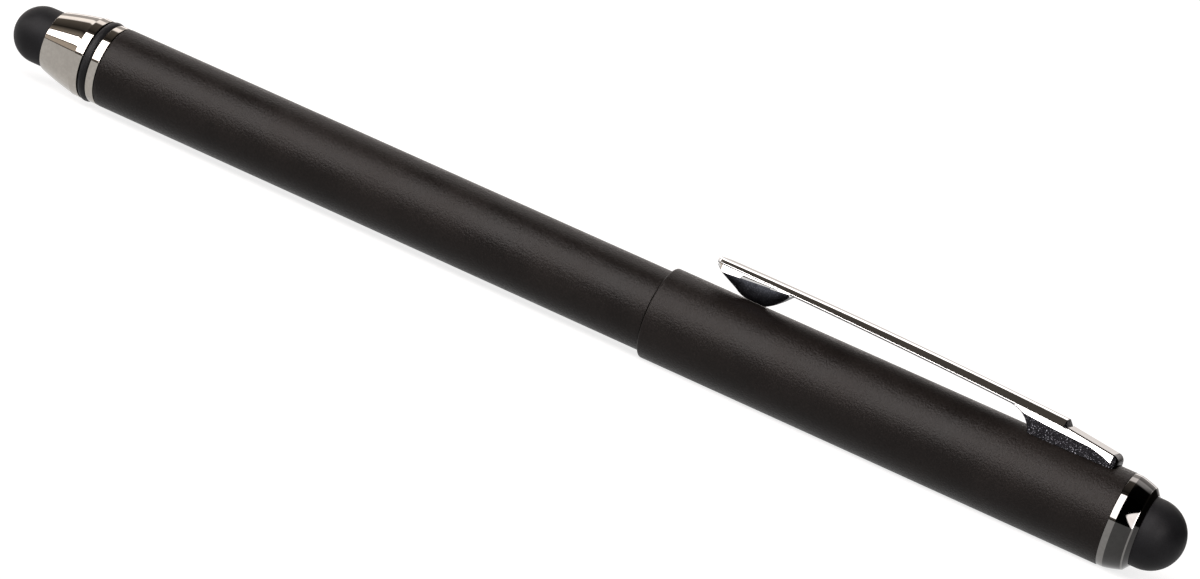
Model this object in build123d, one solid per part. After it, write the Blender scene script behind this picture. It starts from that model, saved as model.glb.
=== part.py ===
from build123d import *
from math import sqrt
import os

# A capped ball pen with a rubber stylus tip at each end, in millimetres.
# It is drawn along X with the cap's mouth at x = 0, the rear tip towards +X and the clip straight up.
# At the end every piece is set down on z = 0.

# Barrel: a painted aluminium tube, reduced a little where it goes under the cap
BARREL_R = 4.7
BARREL_BORE_R = 4.1
BARREL_SHOWN = 70.25
BARREL_EDGE = 0.3
SEAT_R = 4.5
SEAT_DEPTH = 4.0
MOUTH_GAP = 0.15

# Threaded bush in the front of the barrel
BUSH_LENGTH = 14.0
THREAD_R = 3.3
THREAD_CLEARANCE = 0.05

# Rear ferrule: collar, ring groove, land, taper and lip, with a spigot inside the barrel
COLLAR_R = 4.68
COLLAR_LENGTH = 1.0
GROOVE_WIDTH = 1.15
LAND_R = 4.72
LAND_LENGTH = 1.0
TAPER_TOP_R = 4.64
TAPER_MID_R = 4.18
TAPER_END_R = 3.58
TAPER_LENGTH = 4.35
TAPER_STEP = 0.3
SPIGOT_LENGTH = 12.0

# Rubber ring in the rear ferrule's groove
RING_WIRE_R = 0.55
RING_OUT_R = 4.83
RING_CLEARANCE = 0.03

# Rear stylus tip and its core
REAR_TIP_R = 3.35
REAR_TIP_WALL = 0.9
REAR_TIP_STRAIGHT = 1.85
REAR_SKIRT = 2.0
REAR_CORE_R = 1.9
REAR_CORE_HEAD = 1.2
REAR_CORE_LENGTH = 6.0
CORE_END_GAP = 0.5

# Refill: metal tube, tail plug, ink and writing point
REFILL_R = 1.6
REFILL_WALL = 0.25
REFILL_TAIL_GAP = 4.6
PLUG_LENGTH = 4.0
PLUG_HEAD = 0.6
INK_LENGTH = 60.0
TIP_STEM = 3.0
TIP_SHOULDER = 1.0
TIP_R = 1.15
TIP_STRAIGHT = 6.3
TIP_CONE = 2.2
TIP_END_R = 0.46
BALL_R = 0.5
BALL_CLEARANCE = 0.02
BALL_OUT = 0.22

# Spring behind the refill, in the rear ferrule's spigot
SPRING_BORE_R = 2.0
SPRING_BORE_DEPTH = 9.0
SPRING_WIRE_R = 0.18
SPRING_MEAN_R = 1.6
SPRING_TURNS = 5
SPRING_END_GAP = 0.05

# Grip section: threaded shank, shoulder, grip with fine grooves, and a chromed nose
SHOULDER_R = 4.1
SHOULDER_GAP = 0.1
SHANK_LENGTH = 12.0
GRIP_WAIST_R = 3.72
GRIP_FRONT_R = 3.3
REFILL_CLEARANCE = 0.12
GRIP_GROOVES = 9
GRIP_GROOVE_WIDTH = 0.4
GRIP_GROOVE_DEPTH = 0.12
GROOVE_ZONE_SHARES = (0.4, 0.8)
SECTION_RING_FROM_SHOULDER = 2.4
SECTION_RING_WIRE_R = 0.5
SECTION_RING_OUT_R = 4.2
NOSE_CONE_LENGTH = 6.0
NOSE_CONE_END_R = 1.5
NOSE_SPIGOT_R = 2.4
NOSE_SPIGOT_LENGTH = 4.0
POINT_CLEARANCE = 0.1
POINT_SEAT_GAP = 0.1

# Cap: painted aluminium tube with a plastic liner
CAP_R = 5.29
CAP_BORE_R = 4.85
CAP_LENGTH = 54.92
CAP_MOUTH_EDGE = 0.22
CAP_END_EDGE = 0.08
LINER_BORE_R = 4.25
LINER_STOP_GAP = 0.1
LINER_LOCK_GAP = 2.25
LINER_END_WALL = 1.0
NIB_ROOM = 6.78

# Cap ferrule: land, slightly rounded taper to an edge, and a chamfer to the lip, with a spigot in the cap
CAP_LAND_R = 5.26
CAP_LAND = 0.68
CAP_NOSE_R = 5.04
CAP_EDGE_R = 4.72
CAP_EDGE = 1.98
CAP_LIP_R = 4.04
CAP_NOSE = 2.5
CAP_SPIGOT = 3.5

# Cap stylus tip and its core
CAP_TIP_R = 3.92
CAP_TIP_WALL = 1.0
CAP_TIP_STRAIGHT = 0.69
CAP_SKIRT = 1.8
CAP_CORE_R = 2.2
CAP_CORE_HEAD = 1.2
CAP_CORE_LENGTH = 4.0

# Pocket clip: heights are from the pen's axis. Its front is placed from the cap's mouth, and its root
# from the heel, which sits by the cap's end
CLIP_FREE_END = 4.07
HEEL_FROM_CAP_END = 1.87
ARM_WIDTH = 3.5
ARM_EDGE = 0.24
SPINE_WIDTH = 2.05
SPINE_HEIGHT = 0.3
SPINE_FROM_HEEL = 6.5
SPINE_END_BEVEL = 0.25
ARM_HIGH = 8.09
ARM_HIGH_PLACE = 16.0
ARM_FREE_DROP = 0.02
ARM_ROOT_DROP = 0.85
ARM_NOSE_R = 1.4
FOOT_WIDTH = 3.0
FOOT_NOSE = 0.4
FOOT_NOSE_DROP = 0.15
FOOT_TOUCH_FROM = 7.85
FOOT_TOUCH_TO = 10.75
FOOT_BACK = 13.35
FOOT_BELLY = 0.18
FOOT_FRONT_R = 3.0
FOOT_SIDE_R = 0.8
FOOT_GAP = 0.06
ROOT_LENGTH = 10.1
ROOT_BEND = 3.1
ROOT_SKIRT_WIDTH = 4.2
ROOT_HEEL_HEIGHT = 6.2
ROOT_HEEL_R = 0.8
ROOT_GAP = 0.05
TANG_FROM_HEEL = 3.1
TANG_LENGTH = 1.8
TANG_WIDTH = 2.0
TANG_PEEN = 0.15
SLOT_CLEARANCE = 0.16
LOCK_LENGTH = 3.4
LOCK_WIDTH = 4.0
LOCK_THICK = 0.6
LOCK_DROP = 0.55

# How far cutting shapes run past what they cut
OVERRUN = 1.0

# Places along the pen, from the cap's mouth
barrel_front = -SEAT_DEPTH
barrel_rear = BARREL_SHOWN
groove_front = barrel_rear + COLLAR_LENGTH
land_front = groove_front + GROOVE_WIDTH
taper_front = land_front + LAND_LENGTH + TAPER_STEP
rear_lip = taper_front + TAPER_LENGTH
rear_seat = rear_lip - REAR_SKIRT
rear_centre = rear_lip + REAR_TIP_STRAIGHT
rear_pole = rear_centre + REAR_TIP_R
spigot_front = barrel_rear - SPIGOT_LENGTH
spring_seat = spigot_front + SPRING_BORE_DEPTH
refill_rear = spring_seat - REFILL_TAIL_GAP - PLUG_HEAD
shoulder = barrel_front - SHOULDER_GAP
cap_end = -CAP_LENGTH
cap_lip = cap_end - CAP_LAND - CAP_NOSE
cap_tip_seat = cap_lip + CAP_SKIRT
cap_centre = cap_lip - CAP_TIP_STRAIGHT
cap_pole = cap_centre - CAP_TIP_R
liner_rear = barrel_front - LINER_STOP_GAP
clip_heel = cap_end + HEEL_FROM_CAP_END
spine_end = clip_heel + SPINE_FROM_HEEL
root_front = clip_heel + ROOT_LENGTH
tang_front = clip_heel + TANG_FROM_HEEL
lock_middle = tang_front + TANG_LENGTH / 2
lock_rear = lock_middle + LOCK_LENGTH / 2
liner_front = lock_rear + LINER_LOCK_GAP
point_front = liner_front + LINER_END_WALL + NIB_ROOM
cone_end = point_front + BALL_OUT
cone_start = cone_end + TIP_CONE
point_shoulder = cone_start + TIP_STRAIGHT
point_seat = point_shoulder + TIP_SHOULDER
ball_x = point_front + BALL_R
grip_front = point_shoulder - POINT_SEAT_GAP
nose_front = grip_front - NOSE_CONE_LENGTH
refill_bore_r = REFILL_R + REFILL_CLEARANCE
refill_inner_r = REFILL_R - REFILL_WALL


def at(x, r):
    """A point of a half profile: x along the pen, r out from its axis."""
    return (x, 0, r)


def turned(*lines):
    """The solid that a closed half profile makes when it is turned about the pen's axis."""
    return revolve(make_face(lines), Axis.X)


def turned_through(*points):
    """The same, for a profile of straight lines."""
    return turned(Polyline(*[at(x, r) for x, r in points], close=True))


def cylinder(x0, x1, r):
    """A plain cylinder along the pen's axis."""
    return turned_through((x0, 0), (x0, r), (x1, r), (x1, 0))


def block(x0, x1, width, z0, z1):
    """A box that lies across the pen's middle plane."""
    return Pos((x0 + x1) / 2, 0, (z0 + z1) / 2) * Box(abs(x1 - x0), width, z1 - z0)


def ring(x, out_r, wire_r):
    """A rubber ring of round section about the pen's axis."""
    return Pos(x, 0, 0) * Rot(0, 90, 0) * Torus(out_r - wire_r, wire_r)


def dome(seat, centre, pole, out_r, wall):
    """A hollow rubber tip: a skirt from its seat to the round's centre, closed by a half ball."""
    side = 1 if pole > centre else -1
    slant = sqrt(0.5)
    in_r = out_r - wall
    return turned(
        Line(at(seat, in_r), at(seat, out_r)),
        Line(at(seat, out_r), at(centre, out_r)),
        ThreePointArc(
            at(centre, out_r), at(centre + side * out_r * slant, out_r * slant), at(pole, 0)
        ),
        Line(at(pole, 0), at(pole - side * wall, 0)),
        ThreePointArc(
            at(pole - side * wall, 0), at(centre + side * in_r * slant, in_r * slant), at(centre, in_r)
        ),
        Line(at(centre, in_r), at(seat, in_r)),
    )


def core(seat, side, head_r, head, stem_r, stem):
    """The plug behind a rubber tip: a head inside the skirt and a stem in the ferrule."""
    return cylinder(seat, seat + side * head, head_r) + cylinder(seat - side * stem, seat, stem_r)


def barrel_tube():
    return turned(
        FilletPolyline(
            at(barrel_front, BARREL_BORE_R),
            at(barrel_front, SEAT_R),
            at(MOUTH_GAP, SEAT_R),
            at(MOUTH_GAP, BARREL_R),
            at(barrel_rear, BARREL_R),
            at(barrel_rear, BARREL_BORE_R),
            radius=[0, 0, 0, 0, BARREL_EDGE, 0],
            close=True,
        )
    )


def barrel_bush():
    bush_rear = barrel_front + BUSH_LENGTH
    bore_r = THREAD_R + THREAD_CLEARANCE
    return cylinder(barrel_front, bush_rear, BARREL_BORE_R) - cylinder(barrel_front, bush_rear, bore_r)


def rear_ferrule():
    groove_r = RING_OUT_R - 2 * RING_WIRE_R - RING_CLEARANCE
    land_rear = land_front + LAND_LENGTH
    body = turned(
        Polyline(
            at(spigot_front, 0),
            at(spigot_front, BARREL_BORE_R),
            at(barrel_rear, BARREL_BORE_R),
            at(barrel_rear, COLLAR_R),
            at(groove_front, COLLAR_R),
            at(groove_front, groove_r),
            at(land_front, groove_r),
            at(land_front, LAND_R),
            at(land_rear, LAND_R),
            at(taper_front, TAPER_TOP_R),
        ),
        ThreePointArc(
            at(taper_front, TAPER_TOP_R),
            at((taper_front + rear_lip) / 2, TAPER_MID_R),
            at(rear_lip, TAPER_END_R),
        ),
        Polyline(at(rear_lip, TAPER_END_R), at(rear_lip, 0), at(spigot_front, 0)),
    )
    body -= cylinder(rear_seat, rear_lip + OVERRUN, REAR_TIP_R)
    body -= cylinder(rear_seat - REAR_CORE_LENGTH - CORE_END_GAP, rear_lip, REAR_CORE_R)
    return body - cylinder(spigot_front - OVERRUN, spring_seat, SPRING_BORE_R)


def rear_o_ring():
    return ring(groove_front + GROOVE_WIDTH / 2, RING_OUT_R, RING_WIRE_R)


def rear_stylus_tip():
    return dome(rear_seat, rear_centre, rear_pole, REAR_TIP_R, REAR_TIP_WALL)


def rear_tip_core():
    head_r = REAR_TIP_R - REAR_TIP_WALL
    return core(rear_seat, 1, head_r, REAR_CORE_HEAD, REAR_CORE_R, REAR_CORE_LENGTH)


def refill_spring():
    length = REFILL_TAIL_GAP - 2 * (SPRING_END_GAP + SPRING_WIRE_R)
    start = spring_seat - SPRING_END_GAP - SPRING_WIRE_R
    coil = Helix(
        pitch=length / SPRING_TURNS,
        height=length,
        radius=SPRING_MEAN_R,
        center=(start, 0, 0),
        direction=(-1, 0, 0),
    )
    section = Plane(origin=coil @ 0, z_dir=coil % 0) * Circle(SPRING_WIRE_R)
    return sweep(section, path=coil, is_frenet=True)


def refill_tube():
    front = point_seat
    return cylinder(front, refill_rear, REFILL_R) - cylinder(front, refill_rear, refill_inner_r)


def refill_plug():
    inner = refill_rear - PLUG_LENGTH
    return cylinder(inner, refill_rear, refill_inner_r) + cylinder(
        refill_rear, refill_rear + PLUG_HEAD, REFILL_R
    )


def ink_column():
    start = point_seat + TIP_STEM
    return cylinder(start, start + INK_LENGTH, refill_inner_r)


def refill_tip():
    body = turned_through(
        (point_seat + TIP_STEM, 0),
        (point_seat + TIP_STEM, refill_inner_r),
        (point_seat, refill_inner_r),
        (point_seat, REFILL_R),
        (point_shoulder, REFILL_R),
        (point_shoulder, TIP_R),
        (cone_start, TIP_R),
        (cone_end, TIP_END_R),
        (cone_end, 0),
    )
    return body - Pos(ball_x, 0, 0) * Sphere(BALL_R + BALL_CLEARANCE)


def writing_ball():
    return Pos(ball_x, 0, 0) * Sphere(BALL_R)


def grip_section():
    ring_x = shoulder - SECTION_RING_FROM_SHOULDER
    taper_start = ring_x - SECTION_RING_FROM_SHOULDER
    body = turned(
        Polyline(
            at(grip_front, 0),
            at(shoulder + SHANK_LENGTH, 0),
            at(shoulder + SHANK_LENGTH, THREAD_R),
            at(shoulder, THREAD_R),
            at(shoulder, SHOULDER_R),
            at(taper_start, SHOULDER_R),
        ),
        ThreePointArc(
            at(taper_start, SHOULDER_R),
            at((taper_start + grip_front) / 2, GRIP_WAIST_R),
            at(grip_front, GRIP_FRONT_R),
        ),
        Line(at(grip_front, GRIP_FRONT_R), at(grip_front, 0)),
    )
    groove_r = SECTION_RING_OUT_R - 2 * SECTION_RING_WIRE_R - RING_CLEARANCE
    half = SECTION_RING_WIRE_R + RING_CLEARANCE
    cut = cylinder(ring_x - half, ring_x + half, SHOULDER_R + OVERRUN)
    body -= cut - cylinder(ring_x - half, ring_x + half, groove_r)
    grip_length = shoulder - grip_front
    zone_start, zone_end = [shoulder - share * grip_length for share in GROOVE_ZONE_SHARES]
    pitch = (zone_start - zone_end - GRIP_GROOVE_WIDTH) / (GRIP_GROOVES - 1)
    for n in range(GRIP_GROOVES):
        x = zone_start - n * pitch
        share = (taper_start - x) / (taper_start - grip_front)
        x_end = x - GRIP_GROOVE_WIDTH
        floor_r = SHOULDER_R + share * (GRIP_FRONT_R - SHOULDER_R) - GRIP_GROOVE_DEPTH
        body -= cylinder(x_end, x, SHOULDER_R + OVERRUN) - cylinder(x_end, x, floor_r)
    body -= cylinder(grip_front - OVERRUN, shoulder + SHANK_LENGTH + OVERRUN, refill_bore_r)
    return body - cylinder(grip_front - OVERRUN, grip_front + NOSE_SPIGOT_LENGTH, NOSE_SPIGOT_R)


def section_o_ring():
    return ring(shoulder - SECTION_RING_FROM_SHOULDER, SECTION_RING_OUT_R, SECTION_RING_WIRE_R)


def nib_cone():
    body = turned_through(
        (grip_front + NOSE_SPIGOT_LENGTH, 0),
        (grip_front + NOSE_SPIGOT_LENGTH, NOSE_SPIGOT_R),
        (grip_front, NOSE_SPIGOT_R),
        (grip_front, GRIP_FRONT_R),
        (nose_front, NOSE_CONE_END_R),
        (nose_front, 0),
    )
    body -= cylinder(grip_front, grip_front + NOSE_SPIGOT_LENGTH + OVERRUN, refill_bore_r)
    return body - cylinder(nose_front - OVERRUN, grip_front, TIP_R + POINT_CLEARANCE)


def cap_tube():
    body = turned(
        FilletPolyline(
            at(0, CAP_BORE_R),
            at(0, CAP_R),
            at(cap_end, CAP_R),
            at(cap_end, CAP_BORE_R),
            radius=[0, CAP_MOUTH_EDGE, CAP_END_EDGE, 0],
            close=True,
        )
    )
    slot_start = tang_front - SLOT_CLEARANCE
    slot_stop = tang_front + TANG_LENGTH + SLOT_CLEARANCE
    return body - block(slot_start, slot_stop, TANG_WIDTH + 2 * SLOT_CLEARANCE, 0, CAP_R + OVERRUN)


def cap_liner():
    hollow = cylinder(liner_front + LINER_END_WALL, liner_rear, LINER_BORE_R)
    return cylinder(liner_front, liner_rear, CAP_BORE_R) - hollow


def cap_ferrule():
    land_end = cap_end - CAP_LAND
    edge = at(land_end - CAP_EDGE, CAP_EDGE_R)
    body = turned(
        Polyline(
            at(cap_end + CAP_SPIGOT, 0),
            at(cap_end + CAP_SPIGOT, CAP_BORE_R),
            at(cap_end, CAP_BORE_R),
            at(cap_end, CAP_LAND_R),
            at(land_end, CAP_LAND_R),
        ),
        ThreePointArc(at(land_end, CAP_LAND_R), at(land_end - CAP_EDGE / 2, CAP_NOSE_R), edge),
        Polyline(edge, at(cap_lip, CAP_LIP_R), at(cap_lip, 0), at(cap_end + CAP_SPIGOT, 0)),
    )
    body -= cylinder(cap_lip - OVERRUN, cap_tip_seat, CAP_TIP_R)
    return body - cylinder(cap_tip_seat, cap_end + CAP_SPIGOT + OVERRUN, CAP_CORE_R)


def cap_stylus_tip():
    return dome(cap_tip_seat, cap_centre, cap_pole, CAP_TIP_R, CAP_TIP_WALL)


def cap_tip_core():
    head_r = CAP_TIP_R - CAP_TIP_WALL
    return core(cap_tip_seat, -1, head_r, CAP_CORE_HEAD, CAP_CORE_R, CAP_CORE_LENGTH)


def clip_arch():
    """The line that the clip's arm follows, along the foot of its spine."""
    return ThreePointArc(
        (-CLIP_FREE_END, 0, ARM_HIGH - ARM_FREE_DROP),
        (-ARM_HIGH_PLACE, 0, ARM_HIGH),
        (spine_end, 0, ARM_HIGH - ARM_ROOT_DROP),
    )


def under_arm(place):
    """The height of the arm's underside at a place along the cap."""
    along = (-place - CLIP_FREE_END) / (-spine_end - CLIP_FREE_END)
    return (clip_arch() @ along).Z - ARM_EDGE


def nose_corner(side):
    """What is cut from one corner of the arm's free end to leave it round."""
    reach = ARM_NOSE_R + OVERRUN
    height = ARM_HIGH + OVERRUN
    middle = Pos(-CLIP_FREE_END - ARM_NOSE_R, side * (ARM_WIDTH / 2 - ARM_NOSE_R), height)
    corner = Pos(reach / 2, side * reach / 2, 0) * Box(reach, reach, height)
    return middle * (corner - Cylinder(ARM_NOSE_R, height))


def clip_arm():
    """A thin flat spring with a raised spine, bevelled down to both edges, and a round nose."""
    arch = clip_arch()
    half = ARM_WIDTH / 2
    top = SPINE_WIDTH / 2
    across = Plane(origin=arch @ 0, x_dir=(0, -1, 0), z_dir=arch % 0)
    section = Polyline(
        (-half, -ARM_EDGE),
        (half, -ARM_EDGE),
        (half, 0),
        (top, SPINE_HEIGHT),
        (-top, SPINE_HEIGHT),
        (-half, 0),
        close=True,
    )
    arm = sweep(across * make_face(section), path=arch)
    stop = arm.edges().filter_by(Axis.Y).sort_by(Axis.X)[:2].sort_by(Axis.Z)[-1]
    arm = chamfer(stop, SPINE_END_BEVEL)
    return arm - nose_corner(1) - nose_corner(-1)


def clip_foot():
    """The round-bottomed foot under the free end, which bears on the cap."""
    front = CLIP_FREE_END + FOOT_NOSE
    touch = CAP_R + FOOT_GAP
    nose = (-front, 0, under_arm(-front) - FOOT_NOSE_DROP)
    rear_touch = (-FOOT_TOUCH_TO, 0, touch)
    back = (-FOOT_BACK, 0, under_arm(-FOOT_BACK))
    belly = (
        -(FOOT_TOUCH_TO + FOOT_BACK) / 2 - FOOT_BELLY,
        0,
        (rear_touch[2] + back[2]) / 2 - FOOT_BELLY,
    )
    side = make_face(
        [
            FilletPolyline(nose, (-FOOT_TOUCH_FROM, 0, touch), rear_touch, radius=FOOT_FRONT_R),
            ThreePointArc(rear_touch, belly, back),
            Polyline(
                back,
                (-FOOT_BACK, 0, back[2] + ARM_EDGE / 2),
                (-front, 0, under_arm(-front) + ARM_EDGE / 2),
                nose,
            ),
        ]
    )
    foot = extrude(side, FOOT_WIDTH / 2, dir=(0, 1, 0), both=True)
    hull = foot.edges().filter_by(lambda e: abs(abs(e.center().Y) - FOOT_WIDTH / 2) < FOOT_GAP)
    low = hull.filter_by(lambda e: e.center().Z < under_arm(-FOOT_BACK) - ARM_EDGE)
    return fillet(low, FOOT_SIDE_R)


def clip_root():
    """The skirted root that straddles the cap, from the arm's bend to the heel."""
    bend = root_front + ROOT_BEND
    skirt = sqrt(CAP_R**2 - (ROOT_SKIRT_WIDTH / 2) ** 2)
    start = (bend, 0, under_arm(bend))
    side = make_face(
        [
            TangentArc(start, (root_front, 0, skirt), tangent=(-1, 0, 0)),
            Polyline(
                (root_front, 0, skirt),
                (root_front, 0, 0),
                (clip_heel, 0, 0),
                (clip_heel, 0, ROOT_HEEL_HEIGHT),
                (spine_end, 0, ARM_HIGH - ARM_ROOT_DROP),
                (bend, 0, under_arm(bend) + ARM_EDGE / 2),
                start,
            ),
        ]
    )
    body = extrude(side, ROOT_SKIRT_WIDTH, dir=(0, 1, 0), both=True)
    heel = body.edges().filter_by(Axis.Y).sort_by(Axis.X)[0:2].sort_by(Axis.Z)[-1]
    body = fillet(heel, ROOT_HEEL_R)
    half = ARM_WIDTH / 2
    flare = (ROOT_SKIRT_WIDTH / 2 - half) / (ARM_HIGH - ARM_ROOT_DROP - skirt)
    top = ARM_HIGH + OVERRUN
    top_half = half - flare * (top - ARM_HIGH + ARM_ROOT_DROP)
    low_half = top_half + flare * top
    draft = make_face(
        Polyline((0, -low_half, 0), (0, low_half, 0), (0, top_half, top), (0, -top_half, top), close=True)
    )
    body &= extrude(draft, OVERRUN - clip_heel, dir=(-1, 0, 0))
    return body - cylinder(clip_heel - OVERRUN, 0, CAP_R + ROOT_GAP)


def lock_top():
    """The height of the lock plate's upper face, below the cap's inner wall."""
    return sqrt(CAP_BORE_R**2 - (LOCK_WIDTH / 2) ** 2) - LOCK_DROP


def tang():
    """The tang that goes through the cap's slot and the lock plate, where it is peened over."""
    foot = lock_top() - LOCK_THICK - TANG_PEEN
    root = (CAP_R + ROOT_HEEL_HEIGHT) / 2
    return block(tang_front, tang_front + TANG_LENGTH, TANG_WIDTH, foot, root)


def pocket_clip():
    return clip_arm() + clip_foot() + clip_root() + tang()


def clip_lock():
    top = lock_top()
    plate = block(lock_middle - LOCK_LENGTH / 2, lock_rear, LOCK_WIDTH, top - LOCK_THICK, top)
    return plate - tang()


pieces = [
    barrel_tube,
    barrel_bush,
    rear_ferrule,
    rear_o_ring,
    rear_stylus_tip,
    rear_tip_core,
    refill_spring,
    refill_tube,
    refill_plug,
    ink_column,
    refill_tip,
    writing_ball,
    grip_section,
    section_o_ring,
    nib_cone,
    cap_tube,
    cap_liner,
    cap_ferrule,
    cap_stylus_tip,
    cap_tip_core,
    pocket_clip,
    clip_lock,
]

# The pen lies on its cap with the clip up, and the origin is on the table under its middle
solids = {piece.__name__: piece() for piece in pieces}
room = Compound(list(solids.values())).bounding_box()
set_down = Pos(-room.center().X, 0, CAP_R)

os.makedirs("parts", exist_ok=True)
for name, solid in solids.items():
    export_step(set_down * solid, f"parts/{name}.step")
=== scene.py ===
from math import atan2, cos, hypot, pi, radians, sin, sqrt, tan

import bmesh
import bpy
from mathutils import Matrix, Vector


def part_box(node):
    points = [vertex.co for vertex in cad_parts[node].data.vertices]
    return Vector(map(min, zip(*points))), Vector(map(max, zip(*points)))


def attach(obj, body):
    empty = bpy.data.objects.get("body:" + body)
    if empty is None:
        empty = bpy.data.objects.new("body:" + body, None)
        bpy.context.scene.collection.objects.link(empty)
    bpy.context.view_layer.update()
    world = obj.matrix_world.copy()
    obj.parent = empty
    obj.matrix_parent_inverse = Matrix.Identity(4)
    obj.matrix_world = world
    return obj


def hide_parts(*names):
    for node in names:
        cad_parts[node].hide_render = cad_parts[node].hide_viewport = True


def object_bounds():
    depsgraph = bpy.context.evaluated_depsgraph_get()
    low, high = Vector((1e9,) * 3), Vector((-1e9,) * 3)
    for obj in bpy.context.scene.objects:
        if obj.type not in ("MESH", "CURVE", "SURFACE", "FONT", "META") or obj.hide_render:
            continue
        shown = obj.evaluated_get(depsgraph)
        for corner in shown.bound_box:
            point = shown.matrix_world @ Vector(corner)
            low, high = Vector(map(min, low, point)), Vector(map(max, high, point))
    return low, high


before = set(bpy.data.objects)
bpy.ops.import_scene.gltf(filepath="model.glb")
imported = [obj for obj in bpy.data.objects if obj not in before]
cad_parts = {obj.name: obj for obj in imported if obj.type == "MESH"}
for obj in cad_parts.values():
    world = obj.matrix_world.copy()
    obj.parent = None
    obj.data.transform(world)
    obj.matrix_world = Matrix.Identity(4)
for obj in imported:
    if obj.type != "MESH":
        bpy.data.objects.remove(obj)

cad_low, cad_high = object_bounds()

# Barrel tube: the thin half of the pen's body, a drawn aluminium tube turned down a little where the cap
# slides over it, then sprayed matte black. Every round piece of the pen is a half profile turned about
# the pen's axis by the same tree of nodes.
MM = 0.001
SIDES = 192
EDGE_STEPS = 6
SEAM = 1e-6
CREASE = radians(38)
BARREL_BORE_R = 4.1 * MM
BARREL_SEAT_R = 4.5 * MM
BARREL_END_EDGE = 0.3 * MM
MOUTH_GAP = 0.15 * MM
FINE_EDGE = 0.05 * MM
FINE_DETAIL = 3.0
FINE_DETAIL_SHARE = 0.6
SLOW_DETAIL = 2.0
MIX_SHARES = (0.1, 0.42)
SPECK_SHARES = (0.6, 0.68)
axis_height = (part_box("cap_tube")[0].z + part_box("cap_tube")[1].z) / 2
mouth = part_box("cap_tube")[1].x


def add(tree, kind, inputs=None, **settings):
    """A node of a tree with its settings, each input linked to a socket or set to a value."""
    new = tree.nodes.new(kind)
    for key, value in settings.items():
        setattr(new, key, value)
    for key, value in (inputs or {}).items():
        if isinstance(value, bpy.types.NodeSocket):
            tree.links.new(value, new.inputs[key])
        else:
            new.inputs[key].default_value = value
    return new


def calculated(tree, operation, *values, kind="ShaderNodeMath"):
    """The result of one step of arithmetic in a tree, on sockets or numbers."""
    return add(tree, kind, dict(enumerate(values)), operation=operation).outputs[0]


def ramped(tree, value, start, stop, low=0.0, high=1.0):
    """A value's even change from low to high between two places, in a tree."""
    spans = {"Value": value, "From Min": start, "From Max": stop, "To Min": low, "To Max": high}
    return add(tree, "ShaderNodeMapRange", spans).outputs[0]


def new_tree(name, kind, inputs, outputs):
    """An empty node group with named sockets, and its input and output nodes."""
    tree = bpy.data.node_groups.new(name, kind)
    for side, sockets in (("INPUT", inputs), ("OUTPUT", outputs)):
        for socket, socket_kind in sockets.items():
            tree.interface.new_socket(socket, in_out=side, socket_type="NodeSocket" + socket_kind)
    return tree, add(tree, "NodeGroupInput").outputs, add(tree, "NodeGroupOutput").inputs


def ended(tree, geometry, finish, result):
    """A tree of geometry nodes, ended with plain geometry in its finish."""
    real = add(tree, "GeometryNodeRealizeInstances", {"Geometry": geometry})
    whole = add(tree, "GeometryNodeSetMaterial", {"Geometry": real.outputs[0], "Material": finish})
    tree.links.new(whole.outputs[0], result)
    return tree


def turning_tree():
    """Turns the points of a half profile, (x, 0, r), about the pen's axis, and closes the seam and poles."""
    tree, given, result = new_tree(
        "turned_piece", "GeometryNodeTree",
        {"Profile": "Geometry", "Sides": "Int", "Axis Height": "Float", "Finish": "Material"},
        {"Piece": "Geometry"})
    count = add(tree, "GeometryNodeAttributeDomainSize", {"Geometry": given["Profile"]}, component="MESH")
    whole = "FunctionNodeIntegerMath"
    columns = calculated(tree, "ADD", given["Sides"], 1, kind=whole)
    grid = add(tree, "GeometryNodeMeshGrid",
               {"Vertices X": count.outputs["Point Count"], "Vertices Y": columns})
    index = add(tree, "GeometryNodeInputIndex").outputs[0]
    row = calculated(tree, "DIVIDE_FLOOR", index, columns, kind=whole)
    column = calculated(tree, "MODULO", index, columns, kind=whole)
    place = add(tree, "GeometryNodeInputPosition").outputs[0]
    sample = add(tree, "GeometryNodeSampleIndex",
                 {"Geometry": given["Profile"], "Value": place, "Index": row},
                 data_type="FLOAT_VECTOR", domain="POINT")
    point = add(tree, "ShaderNodeSeparateXYZ", {0: sample.outputs["Value"]}).outputs
    turn = calculated(tree, "DIVIDE", column, given["Sides"])
    angle = calculated(tree, "MULTIPLY", turn, 2 * pi)
    across = calculated(tree, "SINE", angle)
    up = calculated(tree, "COSINE", angle)
    y = calculated(tree, "MULTIPLY", across, point["Z"])
    z = calculated(tree, "MULTIPLY_ADD", up, point["Z"], given["Axis Height"])
    turned_to = add(tree, "ShaderNodeCombineXYZ", {"X": point["X"], "Y": y, "Z": z}).outputs[0]
    moved = add(tree, "GeometryNodeSetPosition", {"Geometry": grid.outputs["Mesh"], "Position": turned_to})
    closed = add(tree, "GeometryNodeMergeByDistance", {"Geometry": moved.outputs[0], "Distance": SEAM})
    return ended(tree, closed.outputs[0], given["Finish"], result["Piece"])


turned_piece = turning_tree()


def outline(corners, closed=True):
    """The points of a profile, each (x, r, edge) corner rounded by its edge between two support points."""
    points = []
    last = len(corners) - 1
    for n, (x, r, edge) in enumerate(corners):
        here = Vector((x, r))
        if not edge or (not closed and n in (0, last)):
            points.append(here)
            continue
        back = Vector(corners[n - 1][:2]) - here
        on = Vector(corners[(n + 1) % len(corners)][:2]) - here
        runs = back.length, on.length
        back.normalize()
        on.normalize()
        half = back.angle(on) / 2
        reach = edge / tan(half)
        middle = here + (back + on).normalized() * (edge / sin(half))
        start = here + back * reach - middle
        stop = here + on * reach - middle
        supports = [min(reach + edge, (reach + run) / 2) for run in runs]
        points.append(here + back * supports[0])
        points += [middle + edge * start.slerp(stop, step / EDGE_STEPS) for step in range(EDGE_STEPS + 1)]
        points.append(here + on * supports[1])
    return points + points[:1] if closed else points


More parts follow.
